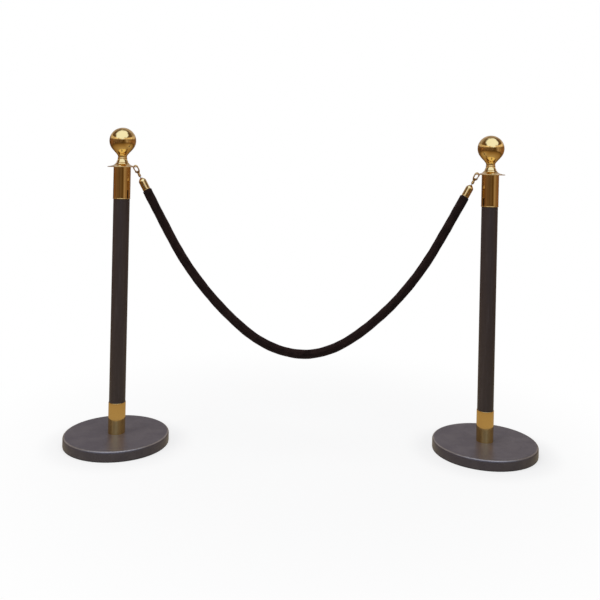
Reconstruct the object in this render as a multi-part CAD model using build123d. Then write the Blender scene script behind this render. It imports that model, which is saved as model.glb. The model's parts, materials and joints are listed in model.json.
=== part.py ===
from build123d import *
import math
import os

# Rope barrier set: two ball-top posts on round bases, and a velvet rope hung between them on snap hooks.
# Millimetres. The origin is on the floor midway between the posts, +X runs from the left post to the
# right post, +Z is up and the front faces -Y.

# ---- driving dimensions ----
POST_X = 585.0            # each post's axis from the middle of the set

BASE_R = 164.0            # base cover, outside
BASE_TOP = 32.0           # top of the base cover above the floor
BASE_EDGE_R = 7.0         # rounding of the cover's top edge
COVER_T = 1.5             # sheet of the base cover
RING_T = 3.0              # floor ring's flange under the cover's skirt
WEIGHT_R = 161.5          # cast weight, outside
WEIGHT_RIM_R = 130.0      # inside of the weight's deep rim
WEIGHT_FLOOR = 16.0       # underside of the weight inside its rim

TUBE_R = 25.5             # post tube, outside
TUBE_T = 1.5              # tube wall
TUBE_TOP = 868.0          # upper end of the tube
SLEEVE_R = 26.8           # brass sleeves, outside
SLEEVE_GAP = 0.1          # slip clearance of the sleeves on the tube
LOWER_SLEEVE_TOP = 129.5
UPPER_SLEEVE_BOTTOM = 774.0
PLUG_CLEARANCE = 0.02     # plugs, bushes, bolts and studs in their seats

BOLT_R = 6.0              # base bolt
BOLT_HEAD_T = 7.5
BOLT_HEAD_AF = 19.0       # across the flats of its hexagon
BOLT_TIP = 51.0           # height of the bolt's end inside the plug
WASHER_T = 2.5
STUD_R = 5.0              # finial stud

PLATE_R = 45.5            # hook plate rim
PLATE_T = 2.5             # hook plate thickness at the rim
PLATE_BOTTOM = 874.75     # underside of the hook plate
HOLE_R = 6.5              # hook holes
HOLE_PCR = 35.5           # hook holes, from the post's axis
HOLE_COUNT = 4
PLATE_NECK_TOP = 889.0    # top of the plate's flare

CONE_TOP = 901.5
NECK_RING_TOP = 904.2
NECK_R = 14.0
BALL_R = 41.5
BALL_T = 1.7              # shell of the hollow ball
BALL_Z = 958.5            # centre of the ball
BUSH_R = 7.5

HOOK_TILT = 28.0          # hook and ferrule axis from the vertical, degrees
EYE_R = 6.2               # centre line of the hook's bend
WIRE_R = 2.2              # section of the hook
EYE_X = 42.34             # centre of the bend, from the post's axis
EYE_Z = 874.32            # height of the bend's centre
NOSE_Z = -4.2             # end of the hook's nose
SHANK_FOOT = -9.0         # end of the shank's straight run
GATE_PIVOT = (-4.6, -13.4)    # gate hinge in the hook's own X and Z
GATE_PIN_R = 1.0
GATE_RUN = 0.05           # running clearance of the gate on its pin
WEB_T = 4.0               # solid web between shank, knuckle and barrel
KNUCKLE_R = 3.3           # knuckle that carries the gate
KNUCKLE_W = 6.4
SLOT_W = 3.2              # slot that the gate works in
SLOT_WALL_X = -1.8        # inner wall of the slot, where the leaf spring is set
GATE_W = 2.8              # thickness of the gate
SPRING_T = 0.3            # leaf spring's strip
SPRING_W = 2.4
BARREL_R = 4.3            # swivel barrel at the foot of the hook
BARREL_TOP = -21.0
BARREL_BOTTOM = -32.5
STEM_R = 2.0              # swivel stem
STEM_RUN = 0.05           # running clearance of the stem in the barrel

FERRULE_R = 12.0
FERRULE_T = 1.2
FERRULE_TOP = -38.0       # ferrule's top, in the hook's own Z
FERRULE_SHOULDER = -49.5  # where its cone meets its cylinder
FERRULE_MOUTH = -79.0     # where the velvet starts
CORE_END = -52.0          # end of the core inside the ferrule
PIN_Z = -65.0             # cross pin
PIN_R = 1.25

ROPE_R = 14.5             # velvet sleeve, outside
CORE_R = 10.0
CORE_GAP = 0.3            # slack between core and sleeve

# Route of the rope in X and Z, from the left ferrule's mouth to the right one's.
ROPE_ROUTE = [
    (-505.5, 804.5),
    (-452.0, 703.8),
    (-384.0, 583.0),
    (-303.0, 478.0),
    (-222.0, 396.0),
    (-147.0, 336.0),
    (-70.0, 301.0),
    (10.0, 289.0),
    (87.0, 306.0),
    (158.0, 345.0),
    (231.0, 404.0),
    (305.0, 478.0),
    (382.0, 579.0),
    (450.1, 700.3),
    (505.5, 804.5),
]

SIDES = {"left": -1, "right": 1}


# ---- small helpers ----
def disc(radius, bottom, top):
    """A cylinder on the post's axis between two heights."""
    return Pos(0, 0, bottom) * Cylinder(radius, top - bottom, align=(Align.CENTER, Align.CENTER, Align.MIN))


def tube(outer, inner, bottom, top):
    """A ring on the post's axis between two heights."""
    return disc(outer, bottom, top) - disc(inner, bottom, top)


def turned(outline):
    """A solid turned about Z from lines and arcs drawn in X and Z."""
    face = make_face(outline)
    return revolve(face, axis=Axis.Z)


def polyline(*points):
    return Polyline(*[(x, 0, z) for x, z in points])


def rod(radius, start, end):
    """A round rod between two points in X and Z, on the plane Y = 0."""
    a = Vector(start[0], 0, start[1])
    b = Vector(end[0], 0, end[1])
    along = b - a
    section = Plane(origin=a, z_dir=along) * Circle(radius)
    return extrude(section, amount=along.length, dir=along.normalized())


def cross_pin(radius, length, place):
    """A rod along Y through a point in X and Z."""
    return Pos(place[0], 0, place[1]) * Rot(90, 0, 0) * Cylinder(radius, length)


# ---- the base ----
def floor_ring():
    flange = tube(BASE_R - 0.5, WEIGHT_RIM_R + 8.0, 0.0, RING_T)
    lip = tube(WEIGHT_R - 0.8, WEIGHT_R - 6.0, RING_T, RING_T + 2.0)
    return chamfer((flange + lip).edges().group_by(Axis.Z)[0], 0.6)


def base_weight():
    top = BASE_TOP - COVER_T - 0.2
    body = disc(WEIGHT_R, RING_T + 2.2, top)
    body = fillet(body.edges().group_by(Axis.Z)[-1], BASE_EDGE_R)
    recess = disc(WEIGHT_RIM_R, 0.0, WEIGHT_FLOOR)
    return body - recess - disc(BOLT_R + 0.5, 0.0, top)


def base_cover():
    inside_edge_r = BASE_EDGE_R - COVER_T
    outer = fillet(disc(BASE_R, RING_T, BASE_TOP).edges().group_by(Axis.Z)[-1], BASE_EDGE_R)
    inner = disc(BASE_R - COVER_T, RING_T - 1.0, BASE_TOP - COVER_T)
    inner = fillet(inner.edges().group_by(Axis.Z)[-1], inside_edge_r)
    return outer - inner - disc(BOLT_R + 0.5, 0.0, BASE_TOP + 1.0)


def base_washer():
    return tube(18.0, BOLT_R + 0.4, WEIGHT_FLOOR - WASHER_T, WEIGHT_FLOOR)


def lock_washer():
    top = WEIGHT_FLOOR - WASHER_T
    ring = tube(10.5, BOLT_R + 0.3, top - WASHER_T, top)
    split = Pos(8.5, 0, top - WASHER_T / 2) * Rot(30, 0, 0) * Box(6.0, 0.8, 3.0 * WASHER_T)
    return ring - split


def base_bolt():
    head_top = WEIGHT_FLOOR - 2 * WASHER_T
    hexagon = RegularPolygon(BOLT_HEAD_AF / 2, 6, major_radius=False)
    head = Pos(0, 0, head_top - BOLT_HEAD_T) * extrude(hexagon, amount=BOLT_HEAD_T)
    shank = disc(BOLT_R, head_top, BOLT_TIP)
    return head + chamfer(shank.edges().group_by(Axis.Z)[-1], 1.0)


# ---- the post ----
def bottom_plug():
    plug = disc(TUBE_R - TUBE_T - PLUG_CLEARANCE, BASE_TOP, BASE_TOP + 20.0)
    plug = chamfer(plug.edges().group_by(Axis.Z)[-1], 1.0)
    return plug - disc(BOLT_R + PLUG_CLEARANCE, BASE_TOP, BASE_TOP + 20.0)


def post_tube():
    return tube(TUBE_R, TUBE_R - TUBE_T, BASE_TOP, TUBE_TOP)


def lower_sleeve():
    sleeve = tube(SLEEVE_R, TUBE_R + SLEEVE_GAP, BASE_TOP, LOWER_SLEEVE_TOP)
    rim = sleeve.edges().group_by(Axis.Z)[-1].sort_by(SortBy.RADIUS)[-1]
    return fillet(rim, 0.8)


def upper_sleeve():
    sleeve = disc(SLEEVE_R, UPPER_SLEEVE_BOTTOM, PLATE_BOTTOM)
    sleeve += tube(SLEEVE_R + 0.5, SLEEVE_R - 0.5, UPPER_SLEEVE_BOTTOM, UPPER_SLEEVE_BOTTOM + 2.4)
    rim = sleeve.edges().group_by(Axis.Z)[0].sort_by(SortBy.RADIUS)[-1]
    sleeve = fillet(rim, 0.45)
    bore = disc(TUBE_R + SLEEVE_GAP, UPPER_SLEEVE_BOTTOM, TUBE_TOP + 3.0)
    return sleeve - bore - disc(STUD_R + 0.2, TUBE_TOP, PLATE_BOTTOM)


def top_plug():
    plug = disc(TUBE_R - TUBE_T - PLUG_CLEARANCE, TUBE_TOP - 22.0, TUBE_TOP)
    plug += disc(TUBE_R - 0.2, TUBE_TOP, TUBE_TOP + 3.0)
    return plug - disc(STUD_R + PLUG_CLEARANCE, TUBE_TOP - 22.0, TUBE_TOP + 3.0)


# ---- the head ----
def hook_plate():
    bore = STUD_R + 0.2
    rim_x = PLATE_R - PLATE_T / 2
    plate_top = PLATE_BOTTOM + PLATE_T
    collar_r = 19.6
    under = polyline((bore, PLATE_BOTTOM), (rim_x, PLATE_BOTTOM))
    rim_middle = (PLATE_R, 0, PLATE_BOTTOM + PLATE_T / 2)
    rim = ThreePointArc((rim_x, 0, PLATE_BOTTOM), rim_middle, (rim_x, 0, plate_top))
    flare = Spline(
        (rim_x, 0, plate_top),
        (30.0, 0, plate_top + 2.6),
        (collar_r, 0, PLATE_NECK_TOP),
        tangents=[(-1, 0, 0.04), (-0.45, 0, 1)],
    )
    top = polyline((collar_r, PLATE_NECK_TOP), (bore, PLATE_NECK_TOP), (bore, PLATE_BOTTOM))
    plate = turned([under, rim, flare, top])
    for i in range(HOLE_COUNT):
        place = Rot(0, 0, 360.0 / HOLE_COUNT * i) * Pos(HOLE_PCR, 0, 0)
        plate -= place * disc(HOLE_R, PLATE_BOTTOM - 1.0, PLATE_NECK_TOP)
    return plate


def neck_cone():
    bore = STUD_R + 0.2
    seat_r = 17.0
    foot_r = 18.6
    groove_top = PLATE_NECK_TOP + 0.9
    foot_top = PLATE_NECK_TOP + 1.6
    foot = polyline(
        (bore, PLATE_NECK_TOP),
        (seat_r, PLATE_NECK_TOP),
        (seat_r, groove_top),
        (foot_r, foot_top),
    )
    side = Spline(
        (foot_r, 0, foot_top),
        (15.6, 0, 896.0),
        (NECK_R + 0.4, 0, CONE_TOP),
        tangents=[(-0.4, 0, 1), (-0.12, 0, 1)],
    )
    top = polyline((NECK_R + 0.4, CONE_TOP), (bore, CONE_TOP), (bore, PLATE_NECK_TOP))
    return turned([foot, side, top])


def neck_ring():
    ring = tube(NECK_R + 1.3, STUD_R + 0.2, CONE_TOP, NECK_RING_TOP)
    rims = ring.edges().filter_by(GeomType.CIRCLE).sort_by(SortBy.RADIUS)[-2:]
    return fillet(rims, 1.2)


def ball_finial():
    join_angle = math.radians(-37.5)
    join = (BALL_R * math.cos(join_angle), 0, BALL_Z + BALL_R * math.sin(join_angle))
    crown = (0, 0, BALL_Z + BALL_R)
    widest = (BALL_R, 0, BALL_Z)
    inner_r = BALL_R - BALL_T
    floor_z = BALL_Z - 29.0
    floor_r = math.sqrt(inner_r**2 - (BALL_Z - floor_z) ** 2)
    bead_r = NECK_R + 0.5
    neck_top = NECK_RING_TOP + 3.6
    neck = polyline(
        (BUSH_R, NECK_RING_TOP),
        (bead_r, NECK_RING_TOP),
        (bead_r, NECK_RING_TOP + 1.2),
        (NECK_R, NECK_RING_TOP + 1.6),
        (NECK_R, neck_top),
    )
    shoulder = Spline(
        (NECK_R, 0, neck_top),
        (19.3, 0, 917.5),
        join,
        tangents=[(0, 0, 1), (-math.sin(join_angle), 0, math.cos(join_angle))],
    )
    sphere = ThreePointArc(join, widest, crown)
    drop = Line(crown, (0, 0, BALL_Z + inner_r))
    hollow = ThreePointArc((0, 0, BALL_Z + inner_r), (inner_r, 0, BALL_Z), (floor_r, 0, floor_z))
    seat = polyline((floor_r, floor_z), (BUSH_R, floor_z), (BUSH_R, NECK_RING_TOP))
    return turned([neck, shoulder, sphere, drop, hollow, seat])


def ball_bush():
    bush = disc(BUSH_R - PLUG_CLEARANCE, NECK_RING_TOP, BALL_Z - 31.0)
    return bush - disc(STUD_R + PLUG_CLEARANCE, NECK_RING_TOP, BALL_Z - 31.0)


def finial_stud():
    stud = disc(STUD_R, TUBE_TOP - 20.0, BALL_Z - 34.0)
    return chamfer(stud.edges().group_by(Axis.Z)[0] + stud.edges().group_by(Axis.Z)[-1], 0.8)


# ---- the rope's end fittings, drawn upright on the hook's own axis, bend centre at the origin ----
def ferrule():
    inner_r = FERRULE_R - FERRULE_T
    top_r = 4.4
    hole_r = STEM_R + PLUG_CLEARANCE
    outside = polyline((inner_r, FERRULE_MOUTH), (FERRULE_R, FERRULE_MOUTH), (FERRULE_R, FERRULE_SHOULDER))
    dome = Spline(
        (FERRULE_R, 0, FERRULE_SHOULDER),
        (9.6, 0, FERRULE_SHOULDER + 5.8),
        (top_r, 0, FERRULE_TOP),
        tangents=[(0, 0, 1), (-0.8, 0, 1)],
    )
    ceiling = FERRULE_TOP - 3.5
    top = polyline((top_r, FERRULE_TOP), (hole_r, FERRULE_TOP), (hole_r, ceiling))
    inside = polyline(
        (hole_r, ceiling),
        (3.8, ceiling),
        (inner_r, FERRULE_SHOULDER - 0.5),
        (inner_r, FERRULE_MOUTH),
    )
    cap = turned([outside, dome, top, inside])
    return cap - cross_pin(PIN_R + PLUG_CLEARANCE, 3 * FERRULE_R, (0, PIN_Z))


def ferrule_pin():
    pin = cross_pin(PIN_R, 2 * FERRULE_R + 0.8, (0, PIN_Z))
    return fillet(pin.edges().filter_by(GeomType.CIRCLE), 0.5)


def swivel_stem():
    shank = disc(STEM_R, FERRULE_TOP - 5.5, BARREL_BOTTOM + 5.0)
    upper_head = disc(3.0, BARREL_BOTTOM + 2.6, BARREL_BOTTOM + 5.0)
    lower_head = disc(3.4, FERRULE_TOP - 5.5, FERRULE_TOP - 3.5)
    return shank + upper_head + lower_head


def hook_body():
    nose = (-EYE_R, NOSE_Z)
    shank_end = (0.0, BARREL_TOP - 1.0)
    path = Wire([
        Line((nose[0], 0, nose[1]), (-EYE_R, 0, 0)),
        ThreePointArc((-EYE_R, 0, 0), (0, 0, EYE_R), (EYE_R, 0, 0)),
        Line((EYE_R, 0, 0), (EYE_R, 0, SHANK_FOOT)),
        TangentArc((EYE_R, 0, SHANK_FOOT), (shank_end[0], 0, shank_end[1]), tangent=(0, 0, -1)),
    ])
    section = Plane(origin=(nose[0], 0, nose[1]), z_dir=(0, 0, 1)) * Circle(WIRE_R)
    bend = sweep(section, path=path)
    web_outline = polyline(
        (-6.0, -15.4),
        (-2.6, -21.6),
        (1.2, -21.6),
        (2.6, -19.0),
        (5.4, -12.6),
        (-3.0, -12.6),
        (-6.0, -15.4),
    )
    web = extrude(make_face(web_outline), amount=WEB_T / 2, both=True)
    knuckle = cross_pin(KNUCKLE_R, KNUCKLE_W, GATE_PIVOT)
    barrel = fillet(disc(BARREL_R, BARREL_BOTTOM, BARREL_TOP).edges().group_by(Axis.Z)[-1], 2.0)
    chamber = disc(3.2, BARREL_BOTTOM + 2.5, BARREL_TOP - 5.5)
    stem_hole = disc(STEM_R + STEM_RUN, BARREL_BOTTOM, BARREL_BOTTOM + 3.0)
    slot_run = 10.0
    slot_middle = GATE_PIVOT[1] + 2.4
    slot = Pos(SLOT_WALL_X - slot_run / 2, 0, slot_middle) * Box(slot_run, SLOT_W, slot_run)
    pin_hole = cross_pin(GATE_PIN_R + PLUG_CLEARANCE, KNUCKLE_W + 1.6, GATE_PIVOT)
    return bend + web + knuckle + barrel - slot - chamber - stem_hole - pin_hole


def hook_gate():
    foot = GATE_PIVOT
    tip = (-EYE_R - 0.1, NOSE_Z - 0.7)
    lever = Polyline(
        (foot[0] + 1.5, 0, foot[1] + 1.2),
        (tip[0] + 1.7, 0, tip[1] - 0.4),
        (tip[0] + 1.5, 0, tip[1]),
        (tip[0] - 1.4, 0, tip[1]),
        (tip[0] - 1.7, 0, tip[1] - 0.4),
        (foot[0] - 2.2, 0, foot[1] + 0.4),
        (foot[0] + 1.5, 0, foot[1] + 1.2),
    )
    bar = extrude(make_face(lever), amount=GATE_W / 2, both=True)
    knuckle = cross_pin(2.3, GATE_W, foot)
    return bar + knuckle - cross_pin(GATE_PIN_R + GATE_RUN, 2 * GATE_W, foot)


def gate_pin():
    pin = cross_pin(GATE_PIN_R, KNUCKLE_W + 0.4, GATE_PIVOT)
    return fillet(pin.edges().filter_by(GeomType.CIRCLE), 0.3)


def gate_spring():
    front_x = SLOT_WALL_X - SPRING_T
    front = [(front_x, -15.2), (front_x, -12.6), (-2.75, -10.6), (-3.99, -8.0)]
    back = [(x + SPRING_T, z) for x, z in reversed(front)]
    strip = polyline(*front, *back, front[0])
    return extrude(make_face(strip), amount=SPRING_W / 2, both=True)


# ---- the rope ----
def route_radii(points):
    """Radius at each corner: 0.45 of the shorter run, over the tangent of half the turn."""
    radii = []
    for before, here, after in zip(points, points[1:], points[2:]):
        run_in = here - before
        run_out = after - here
        half_turn = math.radians(run_in.get_angle(run_out)) / 2
        radii.append(0.45 * min(run_in.length, run_out.length) / math.tan(half_turn))
    return radii


def rope_line(points):
    return FilletPolyline(*points, radius=route_radii(points))


def rope_cover(line):
    ring = Circle(ROPE_R) - Circle(CORE_R + CORE_GAP)
    section = Plane(origin=line @ 0, z_dir=line % 0) * ring
    return sweep(section, path=line)


def rope_core(points):
    """The core follows the sleeve's line and runs on, straight, into both ferrules."""
    into_ferrule = CORE_END - FERRULE_MOUTH
    first = points[0] + (points[0] - points[1]).normalized() * into_ferrule
    last = points[-1] + (points[-1] - points[-2]).normalized() * into_ferrule
    line = FilletPolyline(first, *points[1:-1], last, radius=route_radii(points))
    core = sweep(Plane(origin=first, z_dir=line % 0) * Circle(CORE_R), path=line)
    drill = cross_pin(PIN_R + PLUG_CLEARANCE, 3 * CORE_R, (0, PIN_Z))
    return core - hook_place(-1) * drill - hook_place(1) * drill


# ---- placing and writing ----
def hook_place(side):
    """The frame of a rope end: its Z runs up the hook's axis, its X points away from the post."""
    tilt = math.radians(HOOK_TILT)
    origin = (side * (POST_X - EYE_X), 0, EYE_Z)
    return Plane(
        origin=origin,
        x_dir=(-side * math.cos(tilt), 0, math.sin(tilt)),
        z_dir=(side * math.sin(tilt), 0, math.cos(tilt)),
    ).location


POST_PARTS = [
    floor_ring, base_weight, base_cover, base_washer, lock_washer, base_bolt, bottom_plug, post_tube,
    lower_sleeve, upper_sleeve, top_plug, hook_plate, neck_cone, neck_ring, ball_finial, ball_bush,
    finial_stud,
]
END_PARTS = [ferrule, ferrule_pin, swivel_stem, hook_body, hook_gate, gate_pin, gate_spring]


def write(shape, name):
    shape.label = name
    export_step(shape, f"parts/{name}.step")


os.makedirs("parts", exist_ok=True)
for make in POST_PARTS:
    shape = make()
    for side_name, side in SIDES.items():
        write(Pos(side * POST_X, 0, 0) * shape, f"{side_name}_{make.__name__}")
for make in END_PARTS:
    shape = make()
    for side_name, side in SIDES.items():
        write(hook_place(side) * shape, f"{side_name}_{make.__name__}")

route = [Vector(x, 0, z) for x, z in ROPE_ROUTE]
cover_line = rope_line(route)
cover = rope_cover(cover_line)
section_area = math.pi * (ROPE_R**2 - (CORE_R + CORE_GAP) ** 2)
write(cover, "rope_cover")
write(rope_core(route), "rope_core")
print("corner radii", [round(r) for r in route_radii(route)])
print("rope length", round(cover_line.length, 1))
print("volume over section times length", round(cover.volume / (section_area * cover_line.length), 5))
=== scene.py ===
import itertools
import json
import math

import bmesh
import bpy
from mathutils import Matrix, Vector
from mathutils.geometry import interpolate_bezier


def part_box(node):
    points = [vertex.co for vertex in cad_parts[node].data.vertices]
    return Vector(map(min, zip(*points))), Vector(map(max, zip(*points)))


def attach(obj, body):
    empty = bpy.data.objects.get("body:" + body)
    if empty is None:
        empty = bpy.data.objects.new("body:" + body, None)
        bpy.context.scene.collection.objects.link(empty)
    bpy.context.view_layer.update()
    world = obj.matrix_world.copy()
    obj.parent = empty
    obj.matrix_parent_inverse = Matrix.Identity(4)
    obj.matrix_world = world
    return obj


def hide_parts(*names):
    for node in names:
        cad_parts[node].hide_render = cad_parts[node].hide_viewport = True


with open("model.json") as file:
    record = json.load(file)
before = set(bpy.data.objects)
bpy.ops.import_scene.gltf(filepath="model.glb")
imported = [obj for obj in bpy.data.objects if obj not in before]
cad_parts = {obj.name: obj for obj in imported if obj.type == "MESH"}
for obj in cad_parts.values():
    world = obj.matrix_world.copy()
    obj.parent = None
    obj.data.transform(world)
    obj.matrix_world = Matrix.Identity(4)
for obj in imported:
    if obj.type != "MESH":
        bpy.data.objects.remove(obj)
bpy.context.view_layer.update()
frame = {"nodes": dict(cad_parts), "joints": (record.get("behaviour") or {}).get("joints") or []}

SIDES = ("left", "right")


# ---- Base cover -------------------------------------------------------------------------------------
# A dish spun from 1.5 mm sheet steel over the cast weight, with a wide rolled edge. It has a satin powder
# coat in a warm dark grey, scuffed through to bare steel where shoes and mops catch the crest of the edge;
# a pale band there also paints the highlight line along the crest.

BASE_R, BASE_TOP, BASE_EDGE, SHEET = 0.164, 0.032, 0.007, 0.0015
BOLT_HOLE_R = 0.0065
LIP_SIDE, LIP_RISE = 0.0003, 0.0004


def arc(centre, radius, start, end, steps):
    """Points of an arc in (radius, height), from one angle in degrees to another."""
    turn = [math.radians(start + (end - start) * i / steps) for i in range(steps + 1)]
    return [(centre[0] + radius * math.cos(a), centre[1] + radius * math.sin(a)) for a in turn]


def stretch(start, end, steps):
    """Points of a straight run, so that long faces stay near square."""
    return [(start[0] + (end[0] - start[0]) * i / steps, start[1] + (end[1] - start[1]) * i / steps)
            for i in range(steps + 1)]


def post_axis(side):
    """The place of a post's own axes: upright through its tube, with heights counted from the floor."""
    low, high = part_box(f"{side}_post_tube")
    return Matrix.Translation(((low[0] + high[0]) / 2, (low[1] + high[1]) / 2, 0.0))


def placed(name, data):
    """An object that holds the given mesh, lamp or camera, linked into the scene."""
    made = bpy.data.objects.new(name, data)
    bpy.context.scene.collection.objects.link(made)
    return made


def mesh_of(name, shape):
    """The finished shape as a mesh, with its faces turned outwards."""
    bmesh.ops.recalc_face_normals(shape, faces=shape.faces)
    mesh = bpy.data.meshes.new(name)
    shape.to_mesh(mesh)
    shape.free()
    return mesh


def finished(name, mesh, place, sharp=35.0):
    """Turns a mesh in its own axes into a piece, and keeps those axes as an attribute for the finishes."""
    own = mesh.attributes.new("own", "FLOAT_VECTOR", "POINT")
    for i, vertex in enumerate(mesh.vertices):
        own.data[i].vector = vertex.co
    mesh.transform(place)
    mesh.shade_smooth()
    mesh.set_sharp_from_angle(angle=math.radians(sharp))
    return placed(name, mesh)


def round_angles(steps):
    """The angles of a full circle in even steps."""
    return [2 * math.pi * i / steps for i in range(steps)]


def turned(name, outline, place, steps=144, sharp=35.0):
    """A lathe piece: a closed outline of (radius, height) points turned about its own upright axis."""
    shape = bmesh.new()
    rings = []
    for radius, height in outline:
        if radius == 0.0:
            rings.append([shape.verts.new((0.0, 0.0, height))] * steps)
            continue
        around = [(radius * math.cos(a), radius * math.sin(a), height) for a in round_angles(steps)]
        rings.append([shape.verts.new(corner) for corner in around])
    for lower, upper in zip(rings, rings[1:] + rings[:1]):
        for i in range(steps):
            j = (i + 1) % steps
            corners = [lower[i], lower[j], upper[j], upper[i]]
            corners = [c for k, c in enumerate(corners) if c not in corners[:k]]
            if len(corners) > 2:
                shape.faces.new(corners)
    return finished(name, mesh_of(name, shape), place, sharp)


def dress(piece, material):
    """Gives the whole piece one finish."""
    piece.data.materials.clear()
    piece.data.materials.append(material)


def fill(tree, node, inputs):
    """Links each named input to a socket, or sets it to a plain value."""
    for key, value in inputs.items():
        if isinstance(value, bpy.types.NodeSocket):
            tree.links.new(value, node.inputs[key])
        else:
            node.inputs[key].default_value = value


def add(tree, kind, inputs=None, **settings):
    """A node with its settings made and its loose inputs filled in."""
    made = tree.nodes.new(kind)
    for key, value in settings.items():
        setattr(made, key, value)
    fill(tree, made, inputs or {})
    return made


def effect_group(name, inputs, outputs):
    """An empty shader node group with named inputs (values) and outputs (values or colours)."""
    group = bpy.data.node_groups.new(name, "ShaderNodeTree")
    for socket_name, kind, value in inputs:
        socket = group.interface.new_socket(name=socket_name, in_out="INPUT", socket_type=kind)
        if value is not None:
            socket.default_value = value
    for socket_name, kind in outputs:
        group.interface.new_socket(name=socket_name, in_out="OUTPUT", socket_type=kind)
    return group, group.nodes.new("NodeGroupInput"), group.nodes.new("NodeGroupOutput")


def ramp(tree, fac, stops):
    """A colour ramp; each stop is a position with a grey level or a colour."""
    made = add(tree, "ShaderNodeValToRGB", {0: fac})
    while len(made.color_ramp.elements) < len(stops):
        made.color_ramp.elements.new(0.5)
    for element, (position, colour) in zip(made.color_ramp.elements, stops):
        element.position = position
        element.color = colour if hasattr(colour, "__len__") else (colour, colour, colour, 1.0)
    return made


def sums(tree, operation, *values):
    """One maths node, with sockets or plain numbers as its values."""
    return add(tree, "ShaderNodeMath", dict(enumerate(values)), operation=operation).outputs[0]


def rise(tree, value, start, end, low=0.0, easing="LINEAR"):
    """A mask that goes from low to 1 as the value passes from start to end."""
    inputs = {"Value": value, "From Min": start, "From Max": end, "To Min": low}
    return add(tree, "ShaderNodeMapRange", inputs, interpolation_type=easing).outputs[0]


def noise(tree, place, scale, detail, roughness=0.5, distortion=0.0):
    inputs = {"Vector": place, "Scale": scale, "Detail": detail, "Roughness": roughness}
    return add(tree, "ShaderNodeTexNoise", {**inputs, "Distortion": distortion}).outputs[0]


def cells(tree, place, scale):
    """Distance to the middle of the nearest cell of a random pattern."""
    return add(tree, "ShaderNodeTexVoronoi", {"Vector": place, "Scale": scale}).outputs["Distance"]


def bumped(tree, height, strength, distance):
    """The surface normal, tilted by a height."""
    inputs = {"Height": height, "Strength": strength, "Distance": distance}
    return add(tree, "ShaderNodeBump", inputs).outputs[0]


def blend_colour(tree, factor, first, second, mode="MIX"):
    """The first colour blended towards the second."""
    made = add(tree, "ShaderNodeMix", data_type="RGBA", blend_type=mode)
    fill(tree, made, {0: factor, 6: first, 7: second})
    return made.outputs[2]


# Handling marks: cloudy smudges and fine crossing hair scratches, for metal and paint alike.
marks_group, marks_in, marks_out = effect_group(
    "handling_marks",
    [("Vector", "NodeSocketVector", None), ("Smudge Scale", "NodeSocketFloat", 40.0),
     ("Scratch Scale", "NodeSocketFloat", 300.0)],
    [("Smudge", "NodeSocketFloat"), ("Scratch", "NodeSocketFloat")],
)
cloud = noise(marks_group, marks_in.outputs["Vector"], marks_in.outputs["Smudge Scale"], 5.0, 0.6, 0.6)
cloud_level = ramp(marks_group, cloud, [(0.42, 0.0), (0.68, 1.0)])
marks_group.links.new(cloud_level.outputs[0], marks_out.inputs["Smudge"])
hairs = []
for angle, squeeze in ((0.5, 22.0), (-0.9, 17.0)):
    turn = add(marks_group, "ShaderNodeMapping", {
        "Vector": marks_in.outputs["Vector"],
        "Rotation": (0.3, angle, angle), "Scale": (1.0, squeeze, 1.0)})
    grain = noise(marks_group, turn.outputs[0], marks_in.outputs["Scratch Scale"], 1.0, distortion=0.15)
    hairs.append(ramp(marks_group, grain, [(0.70, 0.0), (0.76, 1.0)]).outputs[0])
marks_group.links.new(sums(marks_group, "MAXIMUM", *hairs), marks_out.inputs["Scratch"])

# Powder coat: the fine orange peel that baked powder leaves, and its slightly lighter flecks.
peel_group, peel_in, peel_out = effect_group(
    "orange_peel",
    [("Vector", "NodeSocketVector", None), ("Grain", "NodeSocketFloat", 900.0)],
    [("Height", "NodeSocketFloat"), ("Fleck", "NodeSocketFloat")],
)
peel = noise(peel_group, peel_in.outputs["Vector"], peel_in.outputs["Grain"], 2.0)
fleck_scale = sums(peel_group, "MULTIPLY", peel_in.outputs["Grain"], 1.7)
fleck = cells(peel_group, peel_in.outputs["Vector"], fleck_scale)
fleck_level = ramp(peel_group, fleck, [(0.10, 1.0), (0.22, 0.0)])
peel_group.links.new(peel, peel_out.inputs["Height"])
peel_group.links.new(fleck_level.outputs[0], peel_out.inputs["Fleck"])

# Settled dust: a thin pale film that lies only on faces that look upwards, thicker in patches.
dust_group, dust_in, dust_out = effect_group(
    "settled_dust",
    [("Vector", "NodeSocketVector", None), ("Amount", "NodeSocketFloat", 0.3)],
    [("Film", "NodeSocketFloat")],
)
facing = add(dust_group, "ShaderNodeNewGeometry")
upward = add(dust_group, "ShaderNodeSeparateXYZ", {0: facing.outputs["Normal"]})
level_face = ramp(dust_group, upward.outputs["Z"], [(0.55, 0.0), (0.98, 1.0)])
patches = noise(dust_group, dust_in.outputs["Vector"], 26.0, 6.0, 0.65)
patch_level = ramp(dust_group, patches, [(0.35, 0.15), (0.7, 1.0)])
film = sums(dust_group, "MULTIPLY", level_face.outputs[0], patch_level.outputs[0])
dust_group.links.new(sums(dust_group, "MULTIPLY", film, dust_in.outputs["Amount"]), dust_out.inputs["Film"])


def use_effect(tree, group, **inputs):
    """An effect group placed in a material; an underscore stands for a space in a socket's name."""
    made = add(tree, "ShaderNodeGroup", node_tree=group)
    fill(tree, made, {key.replace("_", " "): value for key, value in inputs.items()})
    return made.outputs


def new_finish(name):
    """A material with its node tree and its Principled shader."""
    material = bpy.data.materials.new(name)
    material.use_nodes = True
    return material, material.node_tree, material.node_tree.nodes["Principled BSDF"]


def stored(tree, attribute):
    """A vector kept on the mesh, such as the piece's own axes to lay a finish out along."""
    return add(tree, "ShaderNodeAttribute", attribute_name=attribute).outputs["Vector"]


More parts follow.
